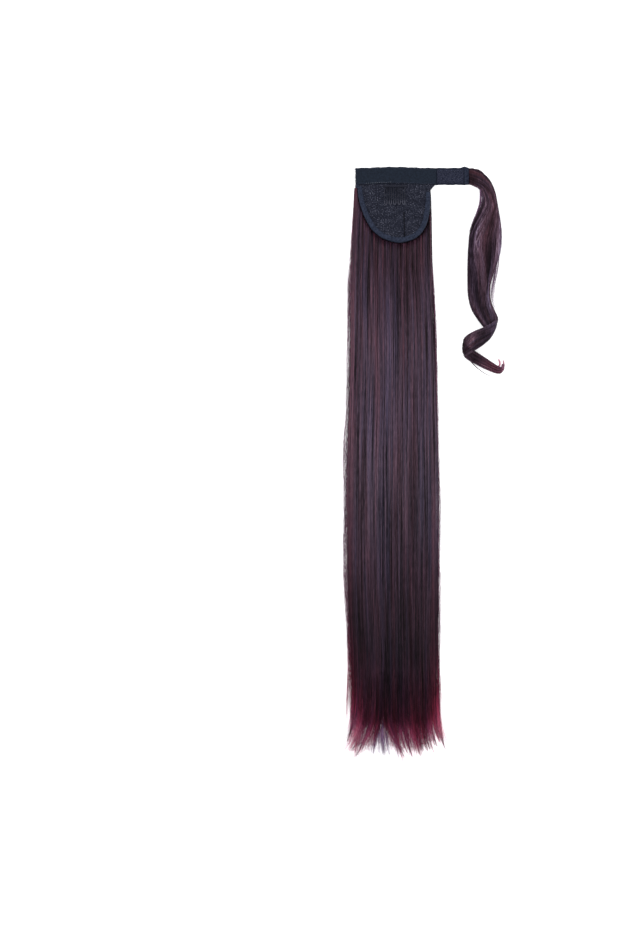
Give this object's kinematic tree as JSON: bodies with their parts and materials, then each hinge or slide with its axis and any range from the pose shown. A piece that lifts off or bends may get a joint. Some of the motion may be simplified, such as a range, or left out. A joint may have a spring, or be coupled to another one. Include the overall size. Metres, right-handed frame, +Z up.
{
  "type": "ponytail hairpiece",
  "caption": "Long straight wrap-around ponytail hairpiece with a net cap, a comb, a hook-and-loop band and a wavy lock that winds over the band.",
  "frame": {"origin": "the underside of the band, on its centre line, at the middle of the cap, on the plane that the hairpiece lies on", "axes": "+X along the band towards its free end and the wavy lock, +Y away from the tail, so the tail runs down -Y, +Z up out of the inside of the cap"},
  "size_m": [0.1896, 0.6983, 0.0199],
  "materials": {
    "loop_tape": "brushed loop pile, matte",
    "lining_satin": "smooth tape, soft sheen",
    "hook_tape": "fine hooks, matte",
    "cap_mesh": "fine stretch mesh, matte",
    "binding_ribbon": "soft folded ribbon, matte",
    "comb_wire": "dark gloss coating",
    "hair_fibre": "straight synthetic fibre, satin sheen, burgundy tips"
  },
  "bodies": {
    "root": {"loop_tape": "loop_tape", "band_lining": "lining_satin", "hook_patch": "hook_tape", "lock_root_tab": "loop_tape", "cap_net": "cap_mesh", "cap_binding": "binding_ribbon", "comb": "comb_wire", "tail_hair": "hair_fibre", "wrap_lock": "hair_fibre"}
  },
  "joints": []
}
